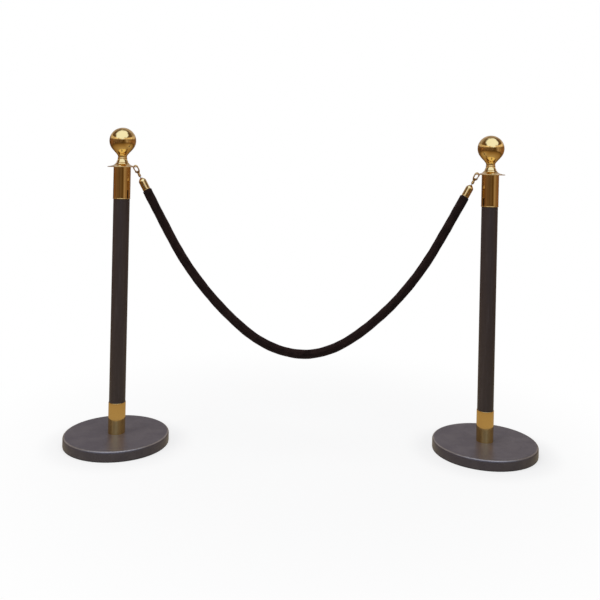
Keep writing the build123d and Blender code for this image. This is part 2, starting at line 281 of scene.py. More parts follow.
def powder_coat(name, colour, rub_and_highlight_tone, roughness, dust, rub_and_highlight_mask, burnish=0.0):
    """Baked powder: orange peel, flecks, hair scratches and dust, made paler by the mask, whose pale tone
    also paints a highlight line where the mask is laid along a crest.

    Burnish says how metallic the masked places are: 1 where they are scuffed down to bare steel."""
    material, tree, shader = new_finish(name)
    own = stored(tree, "own")
    marks = use_effect(tree, marks_group, Vector=own, Smudge_Scale=18.0, Scratch_Scale=160.0)
    grain = use_effect(tree, peel_group, Vector=own, Grain=1400.0)
    film = use_effect(tree, dust_group, Vector=own, Amount=dust)["Film"]
    tone = blend_colour(tree, sums(tree, "MULTIPLY", marks["Smudge"], 0.03), (*colour, 1.0), (*rub_and_highlight_tone, 1.0))
    tone = blend_colour(tree, sums(tree, "MULTIPLY", grain["Fleck"], 0.05), tone, (*rub_and_highlight_tone, 1.0))
    rub_and_highlight_amount = rub_and_highlight_mask(tree, own)
    tone = blend_colour(tree, rub_and_highlight_amount, tone, (*rub_and_highlight_tone, 1.0))
    tone = blend_colour(tree, sums(tree, "MULTIPLY", marks["Scratch"], 0.05), tone, (*rub_and_highlight_tone, 1.0))
    tone = blend_colour(tree, film, tone, (0.42, 0.40, 0.38, 1.0))
    gloss = sums(tree, "MULTIPLY_ADD", marks["Smudge"], -0.08, roughness)
    gloss = sums(tree, "ADD", gloss, sums(tree, "MULTIPLY", film, 0.5))
    relief = sums(tree, "SUBTRACT", grain["Height"], sums(tree, "MULTIPLY", marks["Scratch"], 0.4))
    normal = bumped(tree, relief, 0.22, 0.00018)
    fill(tree, shader, {"Base Color": tone, "Roughness": gloss, "Normal": normal})
    if burnish:
        fill(tree, shader, {"Metallic": sums(tree, "MULTIPLY", rub_and_highlight_amount, burnish)})
    return material


def crest_rub_and_highlight(tree, own):
    """Scuffed through on the crest of the rolled edge and broken up by noise so that it isn't a clean ring.
    The band is made pale so that it also paints the highlight line along the crest.
    """
    apart = add(tree, "ShaderNodeSeparateXYZ", {0: own})
    x2 = sums(tree, "MULTIPLY", apart.outputs[0], apart.outputs[0])
    y2 = sums(tree, "MULTIPLY", apart.outputs[1], apart.outputs[1])
    radius = sums(tree, "SQRT", sums(tree, "ADD", x2, y2))
    from_edge = sums(tree, "ABSOLUTE", sums(tree, "SUBTRACT", radius, BASE_R - 0.3 * BASE_EDGE))
    near = sums(tree, "SUBTRACT", 1.0, sums(tree, "DIVIDE", from_edge, 0.6 * BASE_EDGE))
    # Only the upper part of the rounding, so that the pale band paints a thin highlight line.
    crest = rise(tree, apart.outputs[2], BASE_TOP - 0.44 * BASE_EDGE, BASE_TOP - 0.18 * BASE_EDGE)
    near = sums(tree, "MULTIPLY", near, crest)
    level = ramp(tree, noise(tree, own, 60.0, 6.0, 0.7), [(0.32, 0.55), (0.66, 1.0)])
    return sums(tree, "MULTIPLY", sums(tree, "MAXIMUM", near, 0.0), level.outputs[0])


# The pale tone at the crest is partly bare steel scuffed through and partly a painted highlight line.
base_finish = powder_coat(
    "base_powder_coat", colour=(0.057, 0.047, 0.056), rub_and_highlight_tone=(0.52, 0.46, 0.40),
    roughness=0.36, dust=0.03, rub_and_highlight_mask=crest_rub_and_highlight, burnish=1.0)

for side in SIDES:
    low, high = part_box(f"{side}_base_cover")
    top, foot = high[2], low[2]
    outside = [
        *stretch((BOLT_HOLE_R, top), (BASE_R - BASE_EDGE, top), 24),
        *arc((BASE_R - BASE_EDGE, top - BASE_EDGE), BASE_EDGE, 90, 0, 14)[1:],
        *stretch((BASE_R, top - BASE_EDGE), (BASE_R, foot + LIP_RISE), 6)[1:],
    ]
    lip = [
        (BASE_R - LIP_SIDE, foot),
        (BASE_R - SHEET + LIP_SIDE, foot),
        (BASE_R - SHEET, foot + LIP_RISE),
    ]
    inside = [
        *arc((BASE_R - BASE_EDGE, top - BASE_EDGE), BASE_EDGE - SHEET, 0, 90, 10),
        *stretch((BASE_R - BASE_EDGE, top - SHEET), (BOLT_HOLE_R, top - SHEET), 12)[1:],
    ]
    cover = turned(f"{side}_spun_base_cover", outside + lip + inside, post_axis(side), steps=192)
    dress(cover, base_finish)
    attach(cover, "posts")
    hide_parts(f"{side}_base_cover")


# ---- Cast weight, rubber ring and the bolt from below ----------------------------------------------
# A black primed iron casting gives the post its weight. It stands on a moulded rubber ring that keeps
# iron off the floor, and a zinc plated bolt with two washers holds it all to the tube from below.

def rough_cast(name, colour, paler):
    """Primed sand casting: a grainy skin with shallow pits."""
    material, tree, shader = new_finish(name)
    place = add(tree, "ShaderNodeTexCoord").outputs["Object"]
    sand = noise(tree, place, 420.0, 8.0, 0.7)
    tone = blend_colour(tree, sand, (*colour, 1.0), (*paler, 1.0))
    height = sums(tree, "ADD", sand, sums(tree, "MULTIPLY", cells(tree, place, 260.0), 0.6))
    normal = bumped(tree, height, 0.6, 0.0006)
    fill(tree, shader, {"Base Color": tone, "Roughness": 0.8, "Normal": normal})
    return material


def moulded_rubber(name):
    """Black rubber with a fine moulded skin, greyed by handling."""
    material, tree, shader = new_finish(name)
    place = add(tree, "ShaderNodeTexCoord").outputs["Object"]
    marks = use_effect(tree, marks_group, Vector=place, Smudge_Scale=30.0, Scratch_Scale=200.0)
    tone = blend_colour(tree, marks["Smudge"], (0.018, 0.018, 0.018, 1.0), (0.055, 0.053, 0.050, 1.0))
    normal = bumped(tree, noise(tree, place, 900.0, 3.0), 0.3, 0.0002)
    fill(tree, shader, {"Base Color": tone, "Roughness": 0.72, "Normal": normal})
    return material


def plated_steel(name, colour, rusted, rust):
    """Zinc plate: cloudy passivation, a spangle of crystals, and a trace of rust in places."""
    material, tree, shader = new_finish(name)
    place = add(tree, "ShaderNodeTexCoord").outputs["Object"]
    marks = use_effect(tree, marks_group, Vector=place, Smudge_Scale=160.0, Scratch_Scale=600.0)
    shade = ramp(tree, cells(tree, place, 700.0), [(0.0, 0.8), (1.0, 1.0)])
    tone = blend_colour(tree, 1.0, (*colour, 1.0), shade.outputs[0], "MULTIPLY")
    tone = blend_colour(tree, sums(tree, "MULTIPLY", marks["Smudge"], rust), tone, (*rusted, 1.0))
    gloss = sums(tree, "MULTIPLY_ADD", marks["Smudge"], 0.25, 0.28)
    fill(tree, shader, {"Base Color": tone, "Roughness": gloss, "Metallic": 1.0})
    return material


iron_finish = rough_cast("primed_iron_casting", (0.022, 0.021, 0.021), (0.06, 0.055, 0.05))
rubber_finish = moulded_rubber("black_floor_rubber")
zinc_finish = plated_steel("zinc_plate", (0.62, 0.63, 0.64), (0.35, 0.20, 0.11), rust=0.15)

for side in SIDES:
    dress(frame["nodes"][f"{side}_base_weight"], iron_finish)
    dress(frame["nodes"][f"{side}_floor_ring"], rubber_finish)
    for fastener in ("base_washer", "lock_washer", "base_bolt", "bottom_plug"):
        dress(frame["nodes"][f"{side}_{fastener}"], zinc_finish)


# ---- Post tube --------------------------------------------------------------------------------------
# Stock 51 mm steel tube, cut square and powder coated charcoal brown. Queues lean and brush on it, so
# the coat carries long faint upright rubs as well as its orange peel.

TUBE_R, TUBE_WALL = 0.0255, 0.0015


def upright_rubs(tree, own):
    """Faint streaks that run up and down the tube."""
    long_way = add(tree, "ShaderNodeMapping", {"Vector": own, "Scale": (1.0, 1.0, 0.05)})
    streak = noise(tree, long_way.outputs[0], 170.0, 4.0)
    return ramp(tree, streak, [(0.52, 0.0), (0.80, 0.35)]).outputs[0]


tube_finish = powder_coat(
    "tube_powder_coat", colour=(0.044, 0.031, 0.029), rub_and_highlight_tone=(0.095, 0.078, 0.074),
    roughness=0.40, dust=0.05, rub_and_highlight_mask=upright_rubs)

for side in SIDES:
    low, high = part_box(f"{side}_post_tube")
    foot, top = low[2], high[2]
    wall = [
        *stretch((TUBE_R, foot), (TUBE_R, top), 90),
        *stretch((TUBE_R - TUBE_WALL, top), (TUBE_R - TUBE_WALL, foot), 30),
    ]
    tube = turned(f"{side}_coated_tube", wall, post_axis(side), steps=96)
    dress(tube, tube_finish)
    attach(tube, "posts")
    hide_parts(f"{side}_post_tube")


# ---- Brass sleeves ----------------------------------------------------------------------------------
# Two sleeves drawn from brass tube slip over the ends of the post. The lower one covers the weld at the
# base. The upper one is closed by a flat crown that carries the hook plate, and ends in a rolled lip.

SLEEVE_R, SLEEVE_BORE, SLEEVE_EASE = 0.0268, 0.0256, 0.0008
CROWN_T, CROWN_EASE = 0.00375, (0.0004, 0.0003)
BEAD_R, BEAD_RISE, BEAD_SINK, BEAD_TOP = 0.0011, 0.0012, 0.0004, 0.0027
STUD_HOLE_R = 0.0052

# Turning marks: the faint even rings that a lathe and polishing mop leave round a turned piece.
rings_group, rings_in, rings_out = effect_group(
    "turning_marks",
    [("Vector", "NodeSocketVector", None), ("Fineness", "NodeSocketFloat", 5000.0)],
    [("Height", "NodeSocketFloat")],
)
flatten = add(rings_group, "ShaderNodeMapping", {
    "Vector": rings_in.outputs["Vector"], "Scale": (0.02, 0.02, 1.0)})
ring_grain = noise(rings_group, flatten.outputs[0], rings_in.outputs["Fineness"], 2.0, 0.6)
rings_group.links.new(ring_grain, rings_out.inputs["Height"])


def polished_brass(name, colour, tarnish, roughness, turning=0.03, tarnish_amount=0.35):
    """Lacquered polished brass: clear reflections, smudges, and tarnish where the lacquer is thin."""
    material, tree, shader = new_finish(name)
    own = stored(tree, "own")
    marks = use_effect(tree, marks_group, Vector=own, Smudge_Scale=55.0, Scratch_Scale=500.0)
    rings = use_effect(tree, rings_group, Vector=own, Fineness=4200.0)["Height"]
    thin_level = ramp(tree, noise(tree, own, 22.0, 6.0, 0.6), [(0.48, 0.0), (0.78, 1.0)])
    tarnished = sums(tree, "MULTIPLY", thin_level.outputs[0], tarnish_amount)
    tone = blend_colour(tree, tarnished, (*colour, 1.0), (*tarnish, 1.0))
    gloss = sums(tree, "MULTIPLY_ADD", marks["Smudge"], 0.05, roughness)
    gloss = sums(tree, "ADD", gloss, sums(tree, "MULTIPLY", marks["Scratch"], 0.05))
    relief = sums(tree, "SUBTRACT", rings, sums(tree, "MULTIPLY", marks["Scratch"], 0.12))
    normal = bumped(tree, relief, turning, 0.0001)
    fill(tree, shader, {"Base Color": tone, "Roughness": gloss, "Metallic": 1.0, "Normal": normal})
    return material


sleeve_brass = polished_brass("sleeve_brass", (0.80, 0.54, 0.20), (0.48, 0.26, 0.09), roughness=0.07)

for side in SIDES:
    low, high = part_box(f"{side}_lower_sleeve")
    foot, top = low[2], high[2]
    lower_outline = [
        *stretch((SLEEVE_R, foot), (SLEEVE_R, top - SLEEVE_EASE), 16),
        *arc((SLEEVE_R - SLEEVE_EASE, top - SLEEVE_EASE), SLEEVE_EASE, 0, 90, 6)[1:],
        *stretch((SLEEVE_BORE, top), (SLEEVE_BORE, foot), 8),
    ]
    lower = turned(f"{side}_foot_sleeve", lower_outline, post_axis(side))

    low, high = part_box(f"{side}_upper_sleeve")
    foot, crown = low[2], high[2]
    ceiling = crown - CROWN_T
    upper_outline = [
        (SLEEVE_BORE, foot + CROWN_EASE[1]),
        (SLEEVE_BORE + CROWN_EASE[0], foot),
        *arc((SLEEVE_R - BEAD_SINK, foot + BEAD_RISE), BEAD_R, -70, 62, 10),
        *stretch((SLEEVE_R, foot + BEAD_TOP), (SLEEVE_R, crown - CROWN_EASE[1]), 16),
        *stretch((SLEEVE_R - CROWN_EASE[0], crown), (STUD_HOLE_R, crown), 6),
        *stretch((STUD_HOLE_R, ceiling), (SLEEVE_BORE, ceiling), 4),
    ]
    upper = turned(f"{side}_head_sleeve", upper_outline, post_axis(side))
    for piece, node in ((lower, "lower_sleeve"), (upper, "upper_sleeve")):
        dress(piece, sleeve_brass)
        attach(piece, "posts")
        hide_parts(f"{side}_{node}")


# ---- Plugs, bush and stud inside the head ----------------------------------------------------------
# Zinc plated steel turnings out of sight: the top plug in the tube, the bush brazed in the ball's neck,
# and the stud that draws ball, ring, cone, plate and sleeve down on to the plug.

for side in SIDES:
    for turning in ("top_plug", "ball_bush", "finial_stud"):
        dress(frame["nodes"][f"{side}_{turning}"], zinc_finish)


# ---- Hook plate -------------------------------------------------------------------------------------
# A brass casting turned to a thin flat flange that sweeps up like a trumpet bell to the neck. Four holes
# drilled straight through the flange take the rope hooks.

PLATE_R, PLATE_T = 0.0455, 0.0025
COLLAR_R, COLLAR_GROOVE_R = 0.0196, 0.0165
COLLAR_EASE = (0.0004, 0.0003)
SWEEP_OUT, SWEEP_UP = (-0.0120, 0.0004), (0.0033, -0.0073)
HOLE_R, HOLE_PCR, HOLES = 0.0065, 0.0355, 4
DRILL_PAST = 0.002

head_brass = polished_brass("head_brass", (0.83, 0.58, 0.23), (0.50, 0.28, 0.10), roughness=0.09)


def curve(start, pull_start, pull_end, end, steps):
    """Points of a smooth free curve, as a pattern maker draws between two tangents."""
    points = interpolate_bezier(Vector(start), Vector(pull_start), Vector(pull_end), Vector(end), steps + 1)
    return [(p.x, p.y) for p in points]


def evaluated(piece):
    """Gives the piece its mesh as its modifiers leave it."""
    graph = bpy.context.evaluated_depsgraph_get()
    mesh = bpy.data.meshes.new_from_object(piece.evaluated_get(graph))
    piece.modifiers.clear()
    piece.data = mesh


def drilled(piece, cutters):
    """Cuts holes with exact booleans, which clear the axes that finished() kept, and drops the cutters."""
    for cutter in cutters:
        cut = piece.modifiers.new("hole", "BOOLEAN")
        cut.operation, cut.solver, cut.object = "DIFFERENCE", "EXACT", cutter
    evaluated(piece)
    for cutter in cutters:
        bpy.data.objects.remove(cutter)


def drill(radius, low, high, at):
    """A cutter for a round hole along the upright axis."""
    outline = [(0.0, low), *stretch((radius, low), (radius, high), 3), (0.0, high)]
    return turned("drill", outline, at, steps=48)


for side in SIDES:
    low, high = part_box(f"{side}_hook_plate")
    under, collar_top = low[2], high[2]
    rim, plate_top = PLATE_R - PLATE_T / 2, under + PLATE_T
    sweep = curve(
        (rim, plate_top), (rim + SWEEP_OUT[0], plate_top + SWEEP_OUT[1]),
        (COLLAR_R + SWEEP_UP[0], collar_top + SWEEP_UP[1]), (COLLAR_R, collar_top - COLLAR_EASE[1]), 28)
    plate_outline = [
        *stretch((STUD_HOLE_R, under), (rim, under), 16),
        *arc((rim, under + PLATE_T / 2), PLATE_T / 2, -90, 90, 10)[1:],
        *sweep[1:],
        (COLLAR_R - COLLAR_EASE[0], collar_top),
        *stretch((COLLAR_GROOVE_R, collar_top), (STUD_HOLE_R, collar_top), 4),
    ]
    plate = turned(f"{side}_trumpet_plate", plate_outline, post_axis(side), steps=160)
    drills = []
    for i in range(HOLES):
        turn = Matrix.Rotation(2 * math.pi * i / HOLES, 4, "Z") @ Matrix.Translation((HOLE_PCR, 0, 0))
        drills.append(drill(HOLE_R, under - DRILL_PAST, collar_top, post_axis(side) @ turn))
    drilled(plate, drills)
    dress(plate, head_brass)
    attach(plate, "posts")
    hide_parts(f"{side}_hook_plate")


# ---- Neck cone and neck ring -----------------------------------------------------------------------
# A turned brass cone stands on the plate in a narrow groove, and a thin half round ring lies between it
# and the ball. Both are clamped by the stud.

NECK_R, NECK_BORE_R = 0.014, 0.013
CONE_FOOT_R, CONE_SEAT_R, CONE_BORE_R = 0.0186, 0.0170, 0.012
GROOVE_DEPTH, FOOT_RISE = 0.0009, 0.0016
CONE_TOP_R = NECK_R + 0.0004
FOOT_PULL, TOP_PULL = (-0.0017, 0.0056), (0.0008, -0.0044)
RING_R = NECK_R + 0.0013

for side in SIDES:
    low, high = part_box(f"{side}_neck_cone")
    seat, cone_top = low[2], high[2]
    flank = curve(
        (CONE_FOOT_R, seat + FOOT_RISE), (CONE_FOOT_R + FOOT_PULL[0], seat + FOOT_PULL[1]),
        (NECK_R + TOP_PULL[0], cone_top + TOP_PULL[1]), (CONE_TOP_R, cone_top), 20)
    cone_outline = [
        (STUD_HOLE_R, seat),
        *stretch((CONE_BORE_R, seat), (CONE_SEAT_R, seat), 2),
        (CONE_SEAT_R, seat + GROOVE_DEPTH),
        *flank,
        *stretch((NECK_BORE_R, cone_top), (STUD_HOLE_R, cone_top), 2),
    ]
    cone = turned(f"{side}_turned_cone", cone_outline, post_axis(side))
    low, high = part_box(f"{side}_neck_ring")
    middle, half = (low[2] + high[2]) / 2, (high[2] - low[2]) / 2
    ring_outline = [
        (STUD_HOLE_R, low[2]),
        (NECK_BORE_R, low[2]),
        *arc((RING_R - half, middle), half, -88, 88, 14),
        (NECK_BORE_R, high[2]),
        (STUD_HOLE_R, high[2]),
    ]
    ring = turned(f"{side}_half_round_ring", ring_outline, post_axis(side))
    for piece, node in ((cone, "neck_cone"), (ring, "neck_ring")):
        dress(piece, head_brass)
        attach(piece, "posts")
        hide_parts(f"{side}_{node}")


# ---- Ball finial ------------------------------------------------------------------------------------
# A hollow ball pressed in two halves from brass sheet, brazed at its waist and polished until the joint
# is all but gone. Its neck is drawn down in one sweep to a small turned bead.

BALL_R, BALL_SHEET = 0.0415, 0.0017
BALL_FLOOR, FLOOR_FLAT_R = 0.029, 0.02
BUSH_R = 0.0075
NECK_BEAD_R, NECK_BEAD_RISE, NECK_BEAD_TOP = 0.0006, 0.0007, 0.0015
NECK_TOP, NECK_PULL = 0.0036, 0.0065
JOIN, JOIN_PULL = math.radians(-37.5), 0.0150

ball_brass = polished_brass(
    "ball_brass", (0.86, 0.60, 0.23), (0.55, 0.30, 0.10),
    roughness=0.055, turning=0.012, tarnish_amount=0.25)

for side in SIDES:
    low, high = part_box(f"{side}_ball_finial")
    neck, centre = low[2], high[2] - BALL_R
    join = (BALL_R * math.cos(JOIN), centre + BALL_R * math.sin(JOIN))
    along = (-math.sin(JOIN), math.cos(JOIN))
    inner_r, inner_floor = BALL_R - BALL_SHEET, centre - BALL_FLOOR
    floor_angle = math.degrees(math.asin(-BALL_FLOOR / inner_r))
    neck_top = neck + NECK_TOP
    drawn = curve(
        (NECK_R, neck_top), (NECK_R, neck_top + NECK_PULL),
        (join[0] - along[0] * JOIN_PULL, join[1] - along[1] * JOIN_PULL), join, 24)
    ball_outline = [
        (BUSH_R, neck),
        (NECK_R, neck),
        *arc((NECK_R, neck + NECK_BEAD_RISE), NECK_BEAD_R, -80, 80, 8),
        (NECK_R, neck + NECK_BEAD_TOP),
        (NECK_R, neck_top),
        *drawn[1:],
        *arc((0.0, centre), BALL_R, math.degrees(JOIN), 90, 64)[1:-1],
        (0.0, centre + BALL_R),
        (0.0, centre + inner_r),
        *arc((0.0, centre), inner_r, 90, floor_angle, 24)[1:],
        *stretch((FLOOR_FLAT_R, inner_floor), (BUSH_R, inner_floor), 2),
    ]
    ball = turned(f"{side}_pressed_ball", ball_outline, post_axis(side), steps=160)
    dress(ball, ball_brass)
    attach(ball, "posts")
    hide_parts(f"{side}_ball_finial")


# ---- Snap hooks -------------------------------------------------------------------------------------
# A small cast brass hook: a round bend that goes down through the plate's hole, a solid web that carries
# the gate's knuckle, and a barrel that turns on the stem of the end cap.

HOOK_TILT = math.radians(28)
EYE_R, WIRE_R, NOSE_TAPER = 0.0062, 0.0022, 0.93
NOSE_Z, SHANK_TOP, SHANK_FOOT = -0.0042, -0.001, -0.0090
SHANK_PULL, ROOT_PULL, SHANK_ROOT = (EYE_R, -0.0136), (0.0037, -0.0190), (0.0, -0.0220)
HOOK_WEB = [
    (-0.0060, -0.0154),
    (-0.0026, -0.0216),
    (0.0012, -0.0216),
    (0.0026, -0.0190),
    (0.0054, -0.0126),
    (-0.0030, -0.0126),
]
WEB_T = 0.0040
GATE_PIVOT, KNUCKLE_R, KNUCKLE_W = (-0.0046, -0.0134), 0.0033, 0.0064
SLOT_WALL_X, SLOT_REACH, SLOT_W, SLOT_FOOT, SLOT_TOP = -0.0018, 0.0100, 0.0032, -0.0160, -0.0060
PIN_HOLE_R, PIN_REACH = 0.00102, 0.0080
BARREL_R, BARREL_FOOT, BARREL_CROWN = 0.0043, -0.0325, -0.0212
BARREL_EASE, CROWN_DOME = 0.0004, (0.0008, 0.0019)
CHAMBER_R, CHAMBER_FLOOR, CHAMBER_ROOF = 0.0032, BARREL_FOOT + 0.0025, BARREL_CROWN - 0.0053
STEM_HOLE_R, STEM_HOLE_FOOT, STEM_HOLE_TOP = 0.00205, BARREL_FOOT - 0.0005, BARREL_FOOT + 0.0030
CAST_GRAIN = 0.00022


def hook_frame(side):
    """A rope end's own axes: Z runs up the hook, X points away from the post."""
    way = -1 if side == "left" else 1
    joint = next(j for j in frame["joints"] if j["name"] == f"{side}_hook_swivel")
    z_axis = Vector(joint["axis"]).normalized()
    x_axis = Vector((-way * math.cos(HOOK_TILT), 0.0, math.sin(HOOK_TILT)))
    y_axis = z_axis.cross(x_axis)
    turn = Matrix((x_axis, y_axis, z_axis)).transposed().to_4x4()
    return Matrix.Translation(Vector(joint["pos_m"])) @ turn


def skin(shape, lower, upper):
    """Joins two rings of corners by a band of faces."""
    for k in range(len(lower)):
        j = (k + 1) % len(lower)
        shape.faces.new([lower[k], lower[j], upper[j], upper[k]])


def ring_round(shape, points, i, radii):
    """A ring of corners square to a line in X and Z at one of its points, each with its own radius."""
    ahead = (points[min(i + 1, len(points) - 1)] - points[max(i - 1, 0)]).normalized()
    across = Vector((0, 1, 0))
    outward = ahead.cross(across)
    ring = []
    for a, radius in zip(round_angles(len(radii)), radii):
        ring.append(shape.verts.new(points[i] + (outward * math.cos(a) + across * math.sin(a)) * radius))
    return ring


def round_bar(shape, line, radii, sides=20):
    """Adds a closed round bar along points in the hook's X and Z, with a radius for each point."""
    points = [Vector((x, 0.0, z)) for x, z in line]
    rings = [ring_round(shape, points, i, [radius] * sides) for i, radius in enumerate(radii)]
    for lower, upper in zip(rings, rings[1:]):
        skin(shape, lower, upper)
    shape.faces.new(rings[0][::-1])
    shape.faces.new(rings[-1])


def cross_barrel(shape, centre, radius, width, sides=32):
    """Adds a short closed cylinder along Y, with eased edges."""
    end, ease = width / 2, 0.12 * radius
    rings = []
    for y, r in ((-end, radius - ease), (-end + ease, radius), (end - ease, radius), (end, radius - ease)):
        turn = round_angles(sides)
        around = [(centre[0] + r * math.cos(a), y, centre[1] + r * math.sin(a)) for a in turn]
        rings.append([shape.verts.new(corner) for corner in around])
    for lower, upper in zip(rings, rings[1:]):
        skin(shape, upper, lower)
    shape.faces.new(rings[0])
    shape.faces.new(rings[-1][::-1])


def slab(shape, outline, thickness):
    """Adds a flat plate of the given outline in X and Z, centred on Y."""
    near = [shape.verts.new((x, -thickness / 2, z)) for x, z in outline]
    far = [shape.verts.new((x, thickness / 2, z)) for x, z in outline]
    shape.faces.new(near)
    shape.faces.new(far[::-1])
    for i in range(len(outline)):
        j = (i + 1) % len(outline)
        shape.faces.new([near[i], far[i], far[j], near[j]])


def cast_together(name, shape, voxel, rounds):
    """Runs overlapping solids together and softens the joins, as they come out of one mould."""
    piece = placed(name, mesh_of(name, shape))
    remesh = piece.modifiers.new("cast", "REMESH")
    remesh.mode, remesh.voxel_size = "VOXEL", voxel
    ease = piece.modifiers.new("ease", "SMOOTH")
    ease.factor, ease.iterations = 0.5, rounds
    evaluated(piece)
    return piece


def block(shape, low, high):
    """Adds a box between two opposite corners."""
    corners = [shape.verts.new(corner) for corner in itertools.product(*zip(low, high))]
    for face in ((0, 1, 3, 2), (4, 6, 7, 5), (0, 4, 5, 1), (2, 3, 7, 6), (0, 2, 6, 4), (1, 5, 7, 3)):
        shape.faces.new([corners[i] for i in face])


def cross_drill(centre, radius, reach):
    """A cutter for a pin's hole, straight across through a point in X and Z."""
    shape = bmesh.new()
    cross_barrel(shape, centre, radius, reach)
    return placed("cross_drill", mesh_of("cross_drill", shape))


def refinished(name, rough, place, sharp=35.0):
    """The finished piece made from a rough object's mesh; the rough object goes."""
    mesh = rough.data
    bpy.data.objects.remove(rough)
    return finished(name, mesh, place, sharp)


hook_brass = polished_brass(
    "hook_brass", (0.76, 0.50, 0.19), (0.38, 0.20, 0.08),
    roughness=0.17, turning=0.05, tarnish_amount=0.6)

for side in SIDES:
    hook_shape = bmesh.new()
    bend = [(-EYE_R, NOSE_Z), (-EYE_R, NOSE_Z / 2)]
    bend += arc((0.0, 0.0), EYE_R, 180, 0, 36)
    bend += stretch((EYE_R, SHANK_TOP), (EYE_R, SHANK_FOOT), 8)
    bend += curve((EYE_R, SHANK_FOOT), SHANK_PULL, ROOT_PULL, SHANK_ROOT, 14)[1:]
    round_bar(hook_shape, bend, [WIRE_R * NOSE_TAPER] + [WIRE_R] * (len(bend) - 1))
    slab(hook_shape, HOOK_WEB, WEB_T)
    cross_barrel(hook_shape, GATE_PIVOT, KNUCKLE_R, KNUCKLE_W)
    barrel_line = stretch((0.0, BARREL_FOOT), (0.0, BARREL_CROWN), 10)
    dome = [BARREL_R - drop for drop in CROWN_DOME]
    round_bar(hook_shape, barrel_line, [BARREL_R - BARREL_EASE, *[BARREL_R] * 8, *dome], sides=40)
    hook = cast_together(f"{side}_cast_hook", hook_shape, voxel=CAST_GRAIN, rounds=5)

    slot_shape = bmesh.new()
    slot_low = (SLOT_WALL_X - SLOT_REACH, -SLOT_W / 2, SLOT_FOOT)
    block(slot_shape, slot_low, (SLOT_WALL_X, SLOT_W / 2, SLOT_TOP))
    slot = placed("slot", mesh_of("slot", slot_shape))
    pin_hole = cross_drill(GATE_PIVOT, PIN_HOLE_R, PIN_REACH)
    chamber = drill(CHAMBER_R, CHAMBER_FLOOR, CHAMBER_ROOF, Matrix())
    stem_hole = drill(STEM_HOLE_R, STEM_HOLE_FOOT, STEM_HOLE_TOP, Matrix())
    drilled(hook, [slot, pin_hole, chamber, stem_hole])
    hook = refinished(f"{side}_cast_hook", hook, hook_frame(side), sharp=48.0)
    dress(hook, hook_brass)
    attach(hook, f"{side}_hook")
    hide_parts(f"{side}_hook_body")


# ---- Hook gates, their pins and leaf springs --------------------------------------------------------
# The gate is a stamped brass lever that a bronze leaf spring holds shut against the hook's nose. It
# turns on a plated steel pin riveted across the knuckle.

GATE_T, GATE_EASE = 0.0028, 0.00035
GATE_EAR_R, GATE_BORE_R = 0.0023, 0.00105
LEVER_ROOT = (GATE_PIVOT[0] + 0.0015, GATE_PIVOT[1] + 0.0013)
TIP_X, TIP_Z = -EYE_R - 0.0001, NOSE_Z - 0.0007
TIP_HALF, TIP_DROP, TIP_FLAT = 0.0017, 0.0006, (0.0013, 0.0012)

bronze_finish = plated_steel("spring_bronze", (0.62, 0.38, 0.18), (0.20, 0.10, 0.05), rust=0.35)

for side in SIDES:
    lever = [
        *arc(GATE_PIVOT, GATE_EAR_R, -205, 15, 22),
        LEVER_ROOT,
        (TIP_X + TIP_HALF, TIP_Z - TIP_DROP),
        (TIP_X + TIP_FLAT[0], TIP_Z),
        (TIP_X - TIP_FLAT[1], TIP_Z),
        (TIP_X - TIP_HALF, TIP_Z - TIP_DROP),
    ]
    gate_shape = bmesh.new()
    slab(gate_shape, lever, GATE_T)
    gate = placed(f"{side}_stamped_gate", mesh_of(f"{side}_stamped_gate", gate_shape))
    soften = gate.modifiers.new("ease", "BEVEL")
    soften.width, soften.segments, soften.angle_limit = GATE_EASE, 3, math.radians(40)
    evaluated(gate)
    drilled(gate, [cross_drill(GATE_PIVOT, GATE_BORE_R, PIN_REACH)])
    gate = refinished(f"{side}_stamped_gate", gate, hook_frame(side), sharp=40.0)
    dress(gate, hook_brass)
    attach(gate, f"{side}_gate")
    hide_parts(f"{side}_hook_gate")
    dress(frame["nodes"][f"{side}_gate_pin"], zinc_finish)
    dress(frame["nodes"][f"{side}_gate_spring"], bronze_finish)


# ---- End caps ---------------------------------------------------------------------------------------
# A spun brass cap closes each end of the rope: a straight skirt with a rolled lip, a domed shoulder and
# a small flat top for the swivel stem. A cross pin through cap and core keeps it on.

CAP_R, CAP_WALL = 0.0120, 0.0012
CAP_MOUTH, CAP_SHOULDER, CAP_TOP = -0.079, -0.0495, -0.038
CAP_LIP_R, CAP_LIP_SINK, CAP_LIP_TOP, CAP_LIP_EASE = 0.0009, 0.0006, 0.0022, 0.0003
SHOULDER_PULL, DOME_PULL, DOME_END = 0.0046, (0.0072, -0.0032), (0.0047, -0.0003)
CAP_FLAT_R, STEM_BORE_R = 0.0043, 0.00202
STEM_SEAT_R, STEM_SEAT, SEAT_EASE = 0.0038, CAP_TOP - 0.0035, 0.0001
INNER_SHOULDER = CAP_SHOULDER - 0.0005
CAP_PIN_Z, CAP_PIN_HOLE_R, CAP_PIN_REACH = -0.065, 0.00127, 0.036

cap_brass = polished_brass("cap_brass", (0.84, 0.60, 0.25), (0.52, 0.30, 0.11), roughness=0.10)

